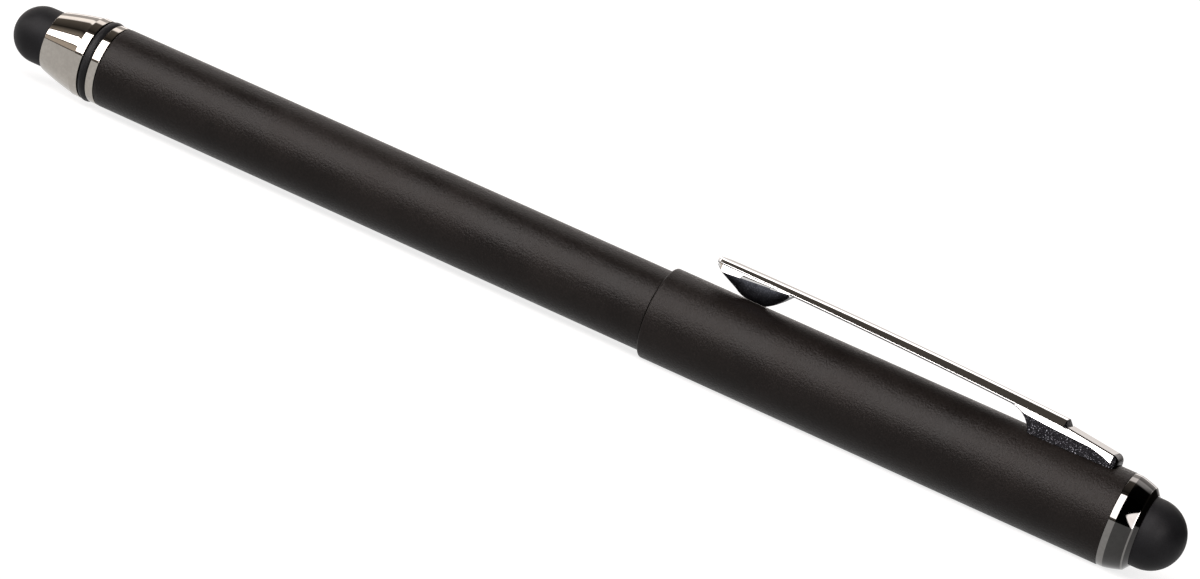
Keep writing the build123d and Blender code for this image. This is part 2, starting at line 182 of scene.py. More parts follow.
def circle_through(a, b, c):
    """The centre of the circle through three points."""
    ab, ac = Vector(b) - Vector(a), Vector(c) - Vector(a)
    twice = 2 * (ab.x * ac.y - ab.y * ac.x)
    out = Vector((ac.y * ab.length_squared - ab.y * ac.length_squared,
                  ab.x * ac.length_squared - ac.x * ab.length_squared))
    return Vector(a) + out / twice


def arc(a, b, c, steps):
    """Points from a to c on the circle through a, b and c, which turns through less than half a circle."""
    middle = circle_through(a, b, c)
    start, stop = Vector(a) - middle, Vector(c) - middle
    return [middle + start.length * start.slerp(stop, step / steps) for step in range(steps + 1)]


def plain(points):
    """Points as corners that aren't rounded."""
    return [(x, r, 0) for x, r in points]


def made_mesh(piece, crease=CREASE):
    """Turns what the piece's modifiers make into its own plain mesh, closed and facing outwards."""
    evaluated = piece.evaluated_get(bpy.context.evaluated_depsgraph_get())
    mesh = bpy.data.meshes.new_from_object(evaluated)
    piece.modifiers.clear()
    piece.data = mesh
    work = bmesh.new()
    work.from_mesh(mesh)
    bmesh.ops.recalc_face_normals(work, faces=work.faces)
    work.to_mesh(mesh)
    work.free()
    mesh.shade_smooth()
    mesh.set_sharp_from_angle(angle=crease)


def run_tree(piece, tree, values):
    """Runs a tree of geometry nodes on a piece, with its inputs by name, and keeps the mesh it makes."""
    modifier = piece.modifiers.new(tree.name, "NODES")
    modifier.node_group = tree
    for name, value in values.items():
        modifier[tree.interface.items_tree[name].identifier] = value
    made_mesh(piece)
    piece.data.materials.clear()
    piece.data.materials.append(values["Finish"])


def new_object(name, mesh):
    """A new object of a mesh, in the scene."""
    piece = bpy.data.objects.new(name, mesh)
    bpy.context.scene.collection.objects.link(piece)
    return piece


def turned(name, points, finish):
    """A new piece: a half profile of points (x, r), turned about the pen's axis."""
    mesh = bpy.data.meshes.new(name)
    mesh.from_pydata([(x, 0, r) for x, r in points], [(n, n + 1) for n in range(len(points) - 1)], [])
    piece = new_object(name, mesh)
    run_tree(piece, turned_piece, {"Sides": SIDES, "Axis Height": axis_height, "Finish": finish})
    return piece


def fit(piece, node, body):
    """Stands a piece in for a node: hides the node and puts the piece on its body."""
    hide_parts(node)
    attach(piece, body)


def ends(node):
    """Where a node starts and stops along the pen."""
    low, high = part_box(node)
    return low.x, high.x


def radius(node):
    """Half a node's height, which is a round node's radius."""
    low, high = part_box(node)
    return (high.z - low.z) / 2


def grain_group():
    """Fine grain, slow mottling and turned rings: a colour between two, a roughness and a height."""
    tree, given, result = new_tree(
        "fine_grain", "ShaderNodeTree",
        {"Dark": "Color", "Light": "Color", "Grain": "Float", "Mottle": "Float", "Roughness": "Float",
         "Spread": "Float", "Rings": "Float", "Ring Share": "Float", "Specks": "Float"},
        {"Color": "Color", "Roughness": "Float", "Height": "Float"})
    place = add(tree, "ShaderNodeTexCoord").outputs["Object"]
    fine = add(tree, "ShaderNodeTexNoise",
               {"Vector": place, "Scale": given["Grain"], "Detail": FINE_DETAIL,
                "Roughness": FINE_DETAIL_SHARE}).outputs[0]
    slow = add(tree, "ShaderNodeTexNoise",
               {"Vector": place, "Scale": given["Mottle"], "Detail": SLOW_DETAIL}).outputs[0]
    both = calculated(tree, "MULTIPLY", fine, slow)
    speck = ramped(tree, fine, *SPECK_SHARES, 0.0, given["Specks"])
    lit = calculated(tree, "ADD", ramped(tree, both, *MIX_SHARES), speck)
    colour = add(tree, "ShaderNodeMix", {"Factor": lit, "A": given["Dark"], "B": given["Light"]},
                 data_type="RGBA", clamp_factor=False)
    uneven = calculated(tree, "SUBTRACT", calculated(tree, "ADD", slow, fine), 1.0)
    rough = calculated(tree, "MULTIPLY_ADD", uneven, given["Spread"], given["Roughness"])
    along = add(tree, "ShaderNodeSeparateXYZ", {0: place}).outputs["X"]
    wave = calculated(tree, "PINGPONG", calculated(tree, "MULTIPLY", along, given["Rings"]), 1.0)
    height = calculated(tree, "MULTIPLY_ADD", wave, given["Ring Share"], fine)
    tree.links.new(colour.outputs["Result"], result["Color"])
    tree.links.new(rough, result["Roughness"])
    tree.links.new(height, result["Height"])
    return tree


fine_grain = grain_group()


def finish(name, dark, light, grain, mottle, roughness, spread=0.1, bump=0.1, depth=0.01 * MM, metallic=0.0,
           specular=0.5, rings=0.0, ring_share=0.0, specks=0.0):
    """A material of fine grain between two colours, with its grain, mottle and rings per metre."""
    material = bpy.data.materials.new(name)
    material.use_nodes = True
    tree = material.node_tree
    surface = tree.nodes["Principled BSDF"]
    surface.inputs["Metallic"].default_value = metallic
    surface.inputs["Specular IOR Level"].default_value = specular
    values = {"Dark": (*dark, 1), "Light": (*light, 1), "Grain": grain, "Mottle": mottle,
              "Roughness": roughness, "Spread": spread, "Rings": rings, "Ring Share": ring_share,
              "Specks": specks}
    texture = add(tree, "ShaderNodeGroup", values, node_tree=fine_grain)
    relief = add(tree, "ShaderNodeBump",
                 {"Strength": bump, "Distance": depth, "Height": texture.outputs["Height"]})
    tree.links.new(texture.outputs["Color"], surface.inputs["Base Color"])
    tree.links.new(texture.outputs["Roughness"], surface.inputs["Roughness"])
    tree.links.new(relief.outputs[0], surface.inputs["Normal"])
    return material


black_paint = finish("black_paint", dark=(0.0055, 0.0042, 0.0037), light=(0.0148, 0.0121, 0.011), grain=4200,
                     mottle=140, roughness=0.36, spread=0.25, bump=1.0, depth=0.055 * MM, specular=0.1)
barrel_front, barrel_rear = ends("barrel_tube")
barrel_r = radius("barrel_tube")
barrel_outline = [
    (barrel_front, BARREL_BORE_R, FINE_EDGE),
    (barrel_front, BARREL_SEAT_R, FINE_EDGE),
    (mouth + MOUTH_GAP, BARREL_SEAT_R, 0),
    (mouth + MOUTH_GAP, barrel_r, FINE_EDGE),
    (barrel_rear, barrel_r, BARREL_END_EDGE),
    (barrel_rear, BARREL_BORE_R, FINE_EDGE),
]
fit(turned("barrel", outline(barrel_outline), black_paint), "barrel_tube", "barrel")

# Barrel bush: a turned brass sleeve, pressed into the front of the barrel, with the thread that the grip
# section screws into.
BUSH_BORE_R = 3.35 * MM
brass = finish("brass", dark=(0.5, 0.33, 0.12), light=(0.72, 0.52, 0.24), grain=3000, mottle=300,
               roughness=0.25, bump=0.15, metallic=1.0, rings=9000, ring_share=0.5)


def sleeve(node, in_r, out_r):
    """The outline of a plain sleeve that fills its node's length."""
    front, rear = ends(node)
    return outline([(front, in_r, FINE_EDGE), (front, out_r, FINE_EDGE),
                    (rear, out_r, FINE_EDGE), (rear, in_r, FINE_EDGE)])


fit(turned("bush", sleeve("barrel_bush", BUSH_BORE_R, BARREL_BORE_R), brass),
    "barrel_bush", "barrel")

# Rear ferrule: a collar, a groove for the rubber ring, a land and a long taper, turned from brass in one
# piece and chromed. Its spigot is pressed into the barrel.
COLLAR_R = 4.68 * MM
COLLAR_LENGTH = 1.0 * MM
GROOVE_WIDTH = 1.15 * MM
GROOVE_FLOOR_R = 3.7 * MM
LAND_R = 4.72 * MM
LAND_LENGTH = 1.0 * MM
TAPER_STEP = 0.3 * MM
TAPER_RADII = (4.64 * MM, 4.18 * MM, 3.58 * MM)
LIP_EDGE = 0.08 * MM
SPIGOT_BORE_R = 2.0 * MM
SPIGOT_BORE_DEPTH = 9.0 * MM
CORE_BORE_R = 1.9 * MM
CORE_END_GAP = 0.5 * MM
ARC_STEPS = 24


def chromed(name, dark, light, roughness=0.045, spread=0.04, **turning):
    """A plated finish: bright metal with next to no grain, and rings where it was turned."""
    return finish(name, dark, light, grain=2500, mottle=260, roughness=roughness, spread=spread, bump=0.03,
                  depth=0.004 * MM, metallic=1.0, **turning)


chrome = chromed("chrome", dark=(0.29, 0.272, 0.245), light=(0.35, 0.33, 0.3), rings=14000, ring_share=0.3)
spigot_front, rear_lip = ends("rear_ferrule")
rear_tip_r = radius("rear_stylus_tip")
rear_seat = ends("rear_stylus_tip")[0]
core_end = ends("rear_tip_core")[0] - CORE_END_GAP
groove_front = barrel_rear + COLLAR_LENGTH
land_front = groove_front + GROOVE_WIDTH
land_rear = land_front + LAND_LENGTH
taper_front = land_rear + TAPER_STEP
taper = arc((taper_front, TAPER_RADII[0]), ((taper_front + rear_lip) / 2, TAPER_RADII[1]),
            (rear_lip, TAPER_RADII[2]), ARC_STEPS)
rear_ferrule_outline = [
    (spigot_front + SPIGOT_BORE_DEPTH, 0, 0),
    (spigot_front + SPIGOT_BORE_DEPTH, SPIGOT_BORE_R, 0),
    (spigot_front, SPIGOT_BORE_R, FINE_EDGE),
    (spigot_front, BARREL_BORE_R, FINE_EDGE),
    (barrel_rear, BARREL_BORE_R, 0),
    (barrel_rear, COLLAR_R, FINE_EDGE),
    (groove_front, COLLAR_R, FINE_EDGE),
    (groove_front, GROOVE_FLOOR_R, 0),
    (land_front, GROOVE_FLOOR_R, 0),
    (land_front, LAND_R, FINE_EDGE),
    (land_rear, LAND_R, FINE_EDGE),
    *plain(taper[:-1]),
    (*taper[-1], LIP_EDGE),
    (rear_lip, rear_tip_r, 0),
    (rear_seat, rear_tip_r, 0),
    (rear_seat, CORE_BORE_R, 0),
    (core_end, CORE_BORE_R, 0),
    (core_end, 0, 0),
]
fit(turned("rear_ferrule_piece", outline(rear_ferrule_outline, closed=False), chrome),
    "rear_ferrule", "barrel")

# Rubber ring in the rear ferrule's groove: a black ring of round section, moulded, stretched over the collar
# into the groove and standing a little proud of it.
RING_STEPS = 28


def spaced(start, stop, steps):
    """Values from start to stop in even steps."""
    return [start + (stop - start) * n / steps for n in range(steps + 1)]


def ring_points(node):
    """The round section of a rubber ring, from its node's box."""
    front, rear = ends(node)
    wire_r = (rear - front) / 2
    middle = Vector(((front + rear) / 2, radius(node) - wire_r))
    return [middle + wire_r * Vector((cos(turn), sin(turn))) for turn in spaced(0, 2 * pi, RING_STEPS)]


ring_rubber = finish("ring_rubber", dark=(0.008, 0.008, 0.0088), light=(0.019, 0.019, 0.02), grain=7000,
                     mottle=400, roughness=0.42, spread=0.12, bump=0.15, specular=0.11)
fit(turned("rear_ring", ring_points("rear_o_ring"), ring_rubber), "rear_o_ring", "barrel")

# Rear stylus tip: a hollow dome, moulded in soft conductive rubber. Its skirt is held in the ferrule by the
# plug inside it.
REAR_TIP_WALL = 0.9 * MM


def dome_points(node, wall, side):
    """The profile of a hollow rubber dome whose round end points to side along the pen."""
    seat, pole = ends(node)[::side]
    out_r = radius(node)
    in_r = out_r - wall
    centre = pole - side * out_r
    turns = spaced(0, pi / 2, ARC_STEPS)
    outer = [(centre + side * out_r * cos(turn), out_r * sin(turn)) for turn in turns]
    inner = [(centre + side * in_r * cos(turn), in_r * sin(turn)) for turn in reversed(turns)]
    return [Vector(p) for p in outer + [(seat, out_r), (seat, in_r)] + inner]


tip_rubber = finish("tip_rubber", dark=(0.0067, 0.0067, 0.0075), light=(0.016, 0.016, 0.0176), grain=8000,
                    mottle=300, roughness=0.5, bump=0.15, specular=0.08)
fit(turned("rear_dome", dome_points("rear_stylus_tip", REAR_TIP_WALL, 1), tip_rubber),
    "rear_stylus_tip", "barrel")

# Rear tip core: a moulded plastic plug. Its head spreads the dome's skirt in the ferrule, and its stem is
# pressed into the ferrule behind it.
REAR_CORE_HEAD_R = 2.45 * MM


def core_points(node, seat, side, head_r, stem_r):
    """The profile of a plug with its head towards side and its stem behind the seat."""
    stem, head = ends(node)[::side]
    return outline([(head, 0, 0), (head, head_r, FINE_EDGE), (seat, head_r, 0), (seat, stem_r, 0),
                    (stem, stem_r, FINE_EDGE), (stem, 0, 0)], closed=False)


core_plastic = finish("core_plastic", dark=(0.03, 0.03, 0.03), light=(0.06, 0.06, 0.06), grain=5000,
                      mottle=200, roughness=0.5)
rear_core_points = core_points("rear_tip_core", rear_seat, 1, REAR_CORE_HEAD_R, CORE_BORE_R)
fit(turned("rear_core", rear_core_points, core_plastic), "rear_tip_core", "barrel")

# Refill spring: a coil of bright steel wire between the refill's tail and the bottom of the ferrule's bore.
# The coil is a spiral of nodes with the wire's round section run along it.
SPRING_TURNS = 5.0
SPRING_WIRE_R = 0.18 * MM
WIRE_SIDES = 16
TURN_STEPS = 48
spring_steel = finish("spring_steel", dark=(0.4, 0.4, 0.4), light=(0.6, 0.6, 0.6), grain=4000, mottle=400,
                      roughness=0.2, depth=0.005 * MM, metallic=1.0)


def spring_tree():
    """A coil of wire along the pen from a starting point."""
    tree, given, result = new_tree(
        "coil_spring", "GeometryNodeTree",
        {"Start": "Geometry", "Turns": "Float", "Coil Radius": "Float", "Wire Radius": "Float",
         "Length": "Float", "Place": "Vector", "Finish": "Material"},
        {"Spring": "Geometry"})
    coil = add(tree, "GeometryNodeCurveSpiral",
               {"Resolution": TURN_STEPS, "Rotations": given["Turns"], "Start Radius": given["Coil Radius"],
                "End Radius": given["Coil Radius"], "Height": given["Length"]})
    wire = add(tree, "GeometryNodeCurvePrimitiveCircle",
               {"Resolution": WIRE_SIDES, "Radius": given["Wire Radius"]})
    swept = add(tree, "GeometryNodeCurveToMesh",
                {"Curve": coil.outputs[0], "Profile Curve": wire.outputs[0], "Fill Caps": True})
    laid = add(tree, "GeometryNodeTransform",
               {"Geometry": swept.outputs[0], "Translation": given["Place"], "Rotation": (0, pi / 2, 0)})
    return ended(tree, laid.outputs[0], given["Finish"], result["Spring"])


spring_front, spring_rear = ends("refill_spring")
spring = new_object("spring", bpy.data.meshes.new("spring"))
run_tree(spring, spring_tree(), {
    "Turns": SPRING_TURNS,
    "Coil Radius": radius("refill_spring") - SPRING_WIRE_R,
    "Wire Radius": SPRING_WIRE_R,
    "Length": spring_rear - spring_front - 2 * SPRING_WIRE_R,
    "Place": (spring_front + SPRING_WIRE_R, 0, axis_height),
    "Finish": spring_steel,
})
fit(spring, "refill_spring", "barrel")

# Refill: a drawn steel tube with a moulded plug in its tail, ink paste inside and a turned nickel-silver
# point that holds the writing ball in its socket.
REFILL_R = 1.6 * MM
REFILL_BORE_R = 1.35 * MM
PLUG_HEAD = 0.6 * MM
TIP_STEM = 3.0 * MM
TIP_SHOULDER = 1.0 * MM
TIP_R = 1.15 * MM
TIP_STRAIGHT = 6.3 * MM
TIP_END_R = 0.46 * MM
BALL_CLEARANCE = 0.02 * MM
refill_steel = finish("refill_steel", dark=(0.48, 0.48, 0.46), light=(0.66, 0.66, 0.64), grain=2500,
                      mottle=200, roughness=0.28, depth=0.006 * MM, metallic=1.0)
plug_plastic = finish("plug_plastic", dark=(0.66, 0.66, 0.63), light=(0.78, 0.78, 0.75), grain=4000,
                      mottle=250, roughness=0.35, bump=0.06)
ink = finish("ink", dark=(0.008, 0.008, 0.03), light=(0.02, 0.02, 0.055), grain=2000, mottle=150,
             roughness=0.25, bump=0.05)
nickel_silver = finish("nickel_silver", dark=(0.55, 0.5, 0.42), light=(0.7, 0.66, 0.57), grain=3000,
                       mottle=300, roughness=0.2, bump=0.15, depth=0.006 * MM, metallic=1.0, rings=12000,
                       ring_share=0.5)
carbide = finish("carbide", dark=(0.36, 0.36, 0.37), light=(0.5, 0.5, 0.51), grain=6000, mottle=900,
                 roughness=0.12, spread=0.05, bump=0.05, depth=0.003 * MM, metallic=1.0)
fit(turned("refill", sleeve("refill_tube", REFILL_BORE_R, REFILL_R), refill_steel),
    "refill_tube", "refill")
plug_front, plug_rear = ends("refill_plug")
tube_end = plug_rear - PLUG_HEAD
plug_outline = [(plug_front, 0, 0), (plug_front, REFILL_BORE_R, FINE_EDGE), (tube_end, REFILL_BORE_R, 0),
                (tube_end, REFILL_R, FINE_EDGE), (plug_rear, REFILL_R, FINE_EDGE), (plug_rear, 0, 0)]
fit(turned("plug", outline(plug_outline, closed=False), plug_plastic),
    "refill_plug", "refill")
ink_front, ink_rear = ends("ink_column")
ink_outline = [(ink_front, 0, 0), (ink_front, REFILL_BORE_R, 0),
               (ink_rear, REFILL_BORE_R, 0), (ink_rear, 0, 0)]
fit(turned("ink_paste", outline(ink_outline, closed=False), ink), "ink_column", "refill")
ball_front, ball_rear = ends("writing_ball")
ball_x = (ball_front + ball_rear) / 2
ball_r = (ball_rear - ball_front) / 2
point_end, stem_end = ends("refill_tip")
point_seat = stem_end - TIP_STEM
point_shoulder = point_seat - TIP_SHOULDER
socket_r = ball_r + BALL_CLEARANCE
rim = sqrt(socket_r**2 - (ball_x - point_end) ** 2)
rim_turn = atan2(rim, point_end - ball_x)
socket_turns = reversed(spaced(0, rim_turn, ARC_STEPS))
socket = [(ball_x + socket_r * cos(turn), socket_r * sin(turn)) for turn in socket_turns]
point_outline = [
    (stem_end, 0, 0),
    (stem_end, REFILL_BORE_R, FINE_EDGE),
    (point_seat, REFILL_BORE_R, 0),
    (point_seat, REFILL_R, FINE_EDGE),
    (point_shoulder, REFILL_R, FINE_EDGE),
    (point_shoulder, TIP_R, 0),
    (point_shoulder - TIP_STRAIGHT, TIP_R, 0),
    (point_end, TIP_END_R, 0),
    *plain(socket),
]
fit(turned("writing_point", outline(point_outline, closed=False), nickel_silver),
    "refill_tip", "refill")
ball_turns = spaced(0, pi, 2 * ARC_STEPS)
ball_points = [Vector((ball_x + ball_r * cos(turn), ball_r * sin(turn))) for turn in ball_turns]
fit(turned("ball_piece", ball_points, carbide), "writing_ball", "ball")

# Grip section: a moulded black grip with fine turned grooves, a threaded shank that screws into the bush, a
# rubber ring that the cap pushes over, and a chromed nose cone.
SHANK_LENGTH = 12.0 * MM
SHOULDER_R = 4.1 * MM
THREAD_R = 3.3 * MM
THREAD_PITCH = 0.75 * MM
THREAD_DEPTH = 0.28 * MM
THREAD_END = 0.7 * MM
PITCH_STEPS = 8
GRIP_WAIST_R = 3.72 * MM
GRIP_FRONT_R = 3.3 * MM
GRIP_BORE_R = 1.72 * MM
RING_FROM_SHOULDER = 2.4 * MM
RING_HALF = 0.53 * MM
RING_FLOOR_R = 3.17 * MM
GRIP_GROOVES = 9
GRIP_GROOVE_WIDTH = 0.4 * MM
GRIP_GROOVE_DEPTH = 0.12 * MM
GRIP_GROOVE_EDGE = 0.04 * MM
GROOVE_ZONE_SHARES = (0.4, 0.8)
NOSE_SPIGOT_R = 2.4 * MM
NOSE_SPIGOT_LENGTH = 4.0 * MM
NOSE_END_R = 1.5 * MM
NOSE_END_EDGE = 0.1 * MM
NOSE_BORE_R = 1.25 * MM
grip_plastic = finish("grip_plastic", dark=(0.016, 0.016, 0.016), light=(0.034, 0.034, 0.034), grain=5000,
                      mottle=160, roughness=0.5, bump=0.2, depth=0.015 * MM, specular=0.35)
grip_front, shank_end = ends("grip_section")
shoulder = shank_end - SHANK_LENGTH
ring_x = shoulder - RING_FROM_SHOULDER
taper_start = ring_x - RING_FROM_SHOULDER
waist = ((taper_start + grip_front) / 2, GRIP_WAIST_R)
grip_middle = circle_through((taper_start, SHOULDER_R), waist, (grip_front, GRIP_FRONT_R))
grip_r = (Vector(waist) - grip_middle).length


def grip_height(x):
    """The grip's radius along its taper."""
    side = 1 if GRIP_WAIST_R > grip_middle.y else -1
    return grip_middle.y + side * sqrt(grip_r**2 - (x - grip_middle.x) ** 2)


grip_length = shoulder - grip_front
zone_start, zone_end = [shoulder - share * grip_length for share in GROOVE_ZONE_SHARES]
groove_pitch = (zone_start - zone_end - GRIP_GROOVE_WIDTH) / (GRIP_GROOVES - 1)
grip_outline = [(taper_start, SHOULDER_R, 0)]
for n in range(GRIP_GROOVES):
    groove_start = zone_start - n * groove_pitch
    groove_stop = groove_start - GRIP_GROOVE_WIDTH
    floor_r = grip_height((groove_start + groove_stop) / 2) - GRIP_GROOVE_DEPTH
    grip_outline += [(groove_start, grip_height(groove_start), GRIP_GROOVE_EDGE), (groove_start, floor_r, 0),
                     (groove_stop, floor_r, 0), (groove_stop, grip_height(groove_stop), GRIP_GROOVE_EDGE)]
thread_steps = round((SHANK_LENGTH - 2 * THREAD_END) / THREAD_PITCH * PITCH_STEPS)
thread_places = [shank_end - THREAD_END - n * THREAD_PITCH / PITCH_STEPS for n in range(thread_steps + 1)]
section_outline = [
    (grip_front, NOSE_SPIGOT_R, 0),
    (grip_front + NOSE_SPIGOT_LENGTH, NOSE_SPIGOT_R, 0),
    (grip_front + NOSE_SPIGOT_LENGTH, GRIP_BORE_R, 0),
    (shank_end, GRIP_BORE_R, FINE_EDGE),
    (shank_end, THREAD_R - THREAD_DEPTH, FINE_EDGE),
    *[(x, THREAD_R, 0) for x in thread_places],
    (shoulder, THREAD_R - THREAD_DEPTH, 0),
    (shoulder, SHOULDER_R, FINE_EDGE),
    (ring_x + RING_HALF, SHOULDER_R, FINE_EDGE),
    (ring_x + RING_HALF, RING_FLOOR_R, 0),
    (ring_x - RING_HALF, RING_FLOOR_R, 0),
    (ring_x - RING_HALF, SHOULDER_R, FINE_EDGE),
    *grip_outline,
    (grip_front, GRIP_FRONT_R, FINE_EDGE),
]


def cut_thread(piece):
    """Draws the shank's surface in to a right-handed thread, along and round the pen."""
    for vertex in piece.data.vertices:
        x, y, z = vertex.co.x, vertex.co.y, vertex.co.z - axis_height
        r = hypot(y, z)
        if thread_places[-1] - SEAM < x < thread_places[0] + SEAM and r > GRIP_BORE_R + THREAD_DEPTH:
            phase = (x / THREAD_PITCH - atan2(z, y) / (2 * pi)) % 1.0
            scale = (r - THREAD_DEPTH * abs(2 * phase - 1)) / r
            vertex.co = (x, y * scale, z * scale + axis_height)


section = turned("section_piece", outline(section_outline), grip_plastic)
cut_thread(section)
fit(section, "grip_section", "section")
fit(turned("section_ring", ring_points("section_o_ring"), ring_rubber),
    "section_o_ring", "section")
cone_front, cone_rear = ends("nib_cone")
cone_outline = [
    (cone_rear, GRIP_BORE_R, 0),
    (cone_rear, NOSE_SPIGOT_R, FINE_EDGE),
    (grip_front, NOSE_SPIGOT_R, 0),
    (grip_front, GRIP_FRONT_R, FINE_EDGE),
    (cone_front, NOSE_END_R, NOSE_END_EDGE),
    (cone_front, NOSE_BORE_R, 0),
    (grip_front, NOSE_BORE_R, 0),
    (grip_front, GRIP_BORE_R, 0),
]
fit(turned("cone", outline(cone_outline), chrome), "nib_cone", "section")

# Cap tube: the wide half of the pen's body, an aluminium tube with a rolled mouth, sprayed with the barrel's
# matte black. A slot near its end takes the clip's tang.
CAP_BORE_R = 4.85 * MM
CAP_MOUTH_EDGE = 0.22 * MM
CAP_END_EDGE = 0.08 * MM
SLOT_COLUMNS = 7
SLOT_FROM_HEEL = 2.94 * MM
SLOT_LENGTH = 2.12 * MM
cap_r = radius("cap_tube")
cap_end = ends("cap_tube")[0]
heel = ends("pocket_clip")[0]
slot_start = heel + SLOT_FROM_HEEL
slot_stop = slot_start + SLOT_LENGTH
cap_outline = [
    (mouth, CAP_BORE_R, FINE_EDGE),
    (mouth, cap_r, CAP_MOUTH_EDGE),
    (slot_stop, cap_r, 0),
    (slot_start, cap_r, 0),
    (cap_end, cap_r, CAP_END_EDGE),
    (cap_end, CAP_BORE_R, 0),
    (slot_start, CAP_BORE_R, 0),
    (slot_stop, CAP_BORE_R, 0),
]


def cut_slot(piece):
    """Opens the tang's slot through the top of the cap's wall, between rings of its mesh."""
    half = 2 * pi * SLOT_COLUMNS / SIDES
    work = bmesh.new()
    work.from_mesh(piece.data)
    middles = {face: face.calc_center_median() for face in work.faces}
    cut = [face for face, at in middles.items()
           if slot_start < at.x < slot_stop and abs(atan2(at.y, at.z - axis_height)) < half]
    bmesh.ops.delete(work, geom=cut, context="FACES")
    rims = [edge for edge in work.edges if edge.is_boundary]
    bmesh.ops.bridge_loops(work, edges=rims)
    bmesh.ops.recalc_face_normals(work, faces=work.faces)
    work.to_mesh(piece.data)
    work.free()
    piece.data.set_sharp_from_angle(angle=CREASE)


cap = turned("cap", outline(cap_outline), black_paint)
cut_slot(cap)
fit(cap, "cap_tube", "cap")

# Cap liner: a moulded plastic inner cap, pressed into the tube. It closes round the writing end and keeps the
# ink from drying.
LINER_BORE_R = 4.25 * MM
LINER_END_WALL = 1.0 * MM
liner_plastic = finish("liner_plastic", dark=(0.035, 0.035, 0.035), light=(0.07, 0.07, 0.07), grain=4000,
                       mottle=150, roughness=0.5)
liner_front, liner_rear = ends("cap_liner")
liner_outline = [
    (liner_front, 0, 0),
    (liner_front, CAP_BORE_R, FINE_EDGE),
    (liner_rear, CAP_BORE_R, FINE_EDGE),
    (liner_rear, LINER_BORE_R, FINE_EDGE),
    (liner_front + LINER_END_WALL, LINER_BORE_R, 0),
    (liner_front + LINER_END_WALL, 0, 0),
]
fit(turned("liner", outline(liner_outline, closed=False), liner_plastic), "cap_liner", "cap")

# Cap ferrule: a narrow land, a taper to a sharp edge and a chamfer to the dome, turned from brass, chromed
# and pressed into the cap's end. The dome's plug is inside it.
CAP_LAND_R = 5.26 * MM
CAP_LAND = 0.68 * MM
CAP_NOSE_R = 5.04 * MM
CAP_EDGE_R = 4.72 * MM
CAP_EDGE = 1.98 * MM
CAP_RING_EDGE = 0.1 * MM
CAP_LIP_R = 4.04 * MM
CAP_CORE_R = 2.2 * MM
CAP_CORE_HEAD_R = 2.92 * MM
cap_lip, cap_spigot = ends("cap_ferrule")
cap_tip_r = radius("cap_stylus_tip")
cap_tip_seat = ends("cap_stylus_tip")[1]
cap_land_end = cap_end - CAP_LAND
cap_nose = arc((cap_land_end, CAP_LAND_R), (cap_land_end - CAP_EDGE / 2, CAP_NOSE_R),
               (cap_land_end - CAP_EDGE, CAP_EDGE_R), ARC_STEPS)
cap_ferrule_outline = [
    (cap_spigot, CAP_CORE_R, FINE_EDGE),
    (cap_spigot, CAP_BORE_R, FINE_EDGE),
    (cap_end, CAP_BORE_R, 0),
    (cap_end, CAP_LAND_R, FINE_EDGE),
    *plain(cap_nose[:-1]),
    (*cap_nose[-1], CAP_RING_EDGE),
    (cap_lip, CAP_LIP_R, FINE_EDGE),
    (cap_lip, cap_tip_r, 0),
    (cap_tip_seat, cap_tip_r, 0),
    (cap_tip_seat, CAP_CORE_R, 0),
]
# The ferrule's plating is two darkened copies of one chrome. A near-black copy on the nose is painted shade
# for dark reflections. A grey, less darkened copy goes on the land, the spigot and a thin rim at the sharp
# edge, which shows as a painted bright line.
painted_shade_copy_chrome = chromed("painted_shade_copy_chrome", dark=(0.04, 0.039, 0.038), light=(0.05, 0.049, 0.048), roughness=0.04,
                      spread=0.03)
painted_lit_copy_chrome = chromed("painted_lit_copy_chrome", dark=(0.15, 0.145, 0.14), light=(0.18, 0.175, 0.168))
cap_ferrule = turned("cap_ferrule_piece", outline(cap_ferrule_outline), painted_lit_copy_chrome)
cap_ferrule.data.materials.append(painted_shade_copy_chrome)
# Faces past the land take the near-black painted shade, except the thin rim at the sharp edge, which stays
# grey as a painted bright line.
for face in cap_ferrule.data.polygons:
    past_land = cap_land_end - face.center.x
    face.material_index = int(past_land > FINE_EDGE and abs(past_land - CAP_EDGE) > CAP_RING_EDGE)
fit(cap_ferrule, "cap_ferrule", "cap")
cap_core_points = core_points("cap_tip_core", cap_tip_seat, -1, CAP_CORE_HEAD_R, CAP_CORE_R)
fit(turned("cap_core", cap_core_points, core_plastic), "cap_tip_core", "cap")

# Cap stylus tip: the larger dome, moulded in the same rubber as the rear one. Its plug holds it in the cap's
# ferrule.
CAP_TIP_WALL = 1.0 * MM
fit(turned("cap_dome", dome_points("cap_stylus_tip", CAP_TIP_WALL, -1), tip_rubber),
    "cap_stylus_tip", "cap")

# Pocket clip: a chromed spring clip. A bevelled spine stands on a thin arm, a boat-shaped foot under the
# free end bears on the cap, and the skirted root straddles the cap, with a tang through its wall.
ARM_HALF = 1.75 * MM
ARM_EDGE = 0.21 * MM
ARM_UNDER_BEVEL = 0.12 * MM
ARM_MIDDLE = 25.0 * MM
ARM_HEIGHTS = (8.1 * MM, 7.69 * MM, 6.77 * MM)
ARM_NOSE_R = 1.4 * MM
ARM_STATIONS = 48
NOSE_STATIONS = 12
SPINE_FROM_HEEL = 6.5 * MM
SPINE_END_BEVEL = 0.4 * MM
SPINE_HEIGHTS = (8.38 * MM, 8.27 * MM, 7.55 * MM)
SPINE_CROWN = 0.06 * MM
SPINE_CROWN_SHARE = 0.75
SPINE_END_SHARE = 0.15
SPINE_TOP_EDGE = 0.1 * MM
CLIP_EDGE = 0.035 * MM
CLIP_CREASE = radians(20)
clip_chrome = chromed("clip_chrome", dark=(0.56, 0.56, 0.555), light=(0.64, 0.64, 0.635), roughness=0.05)
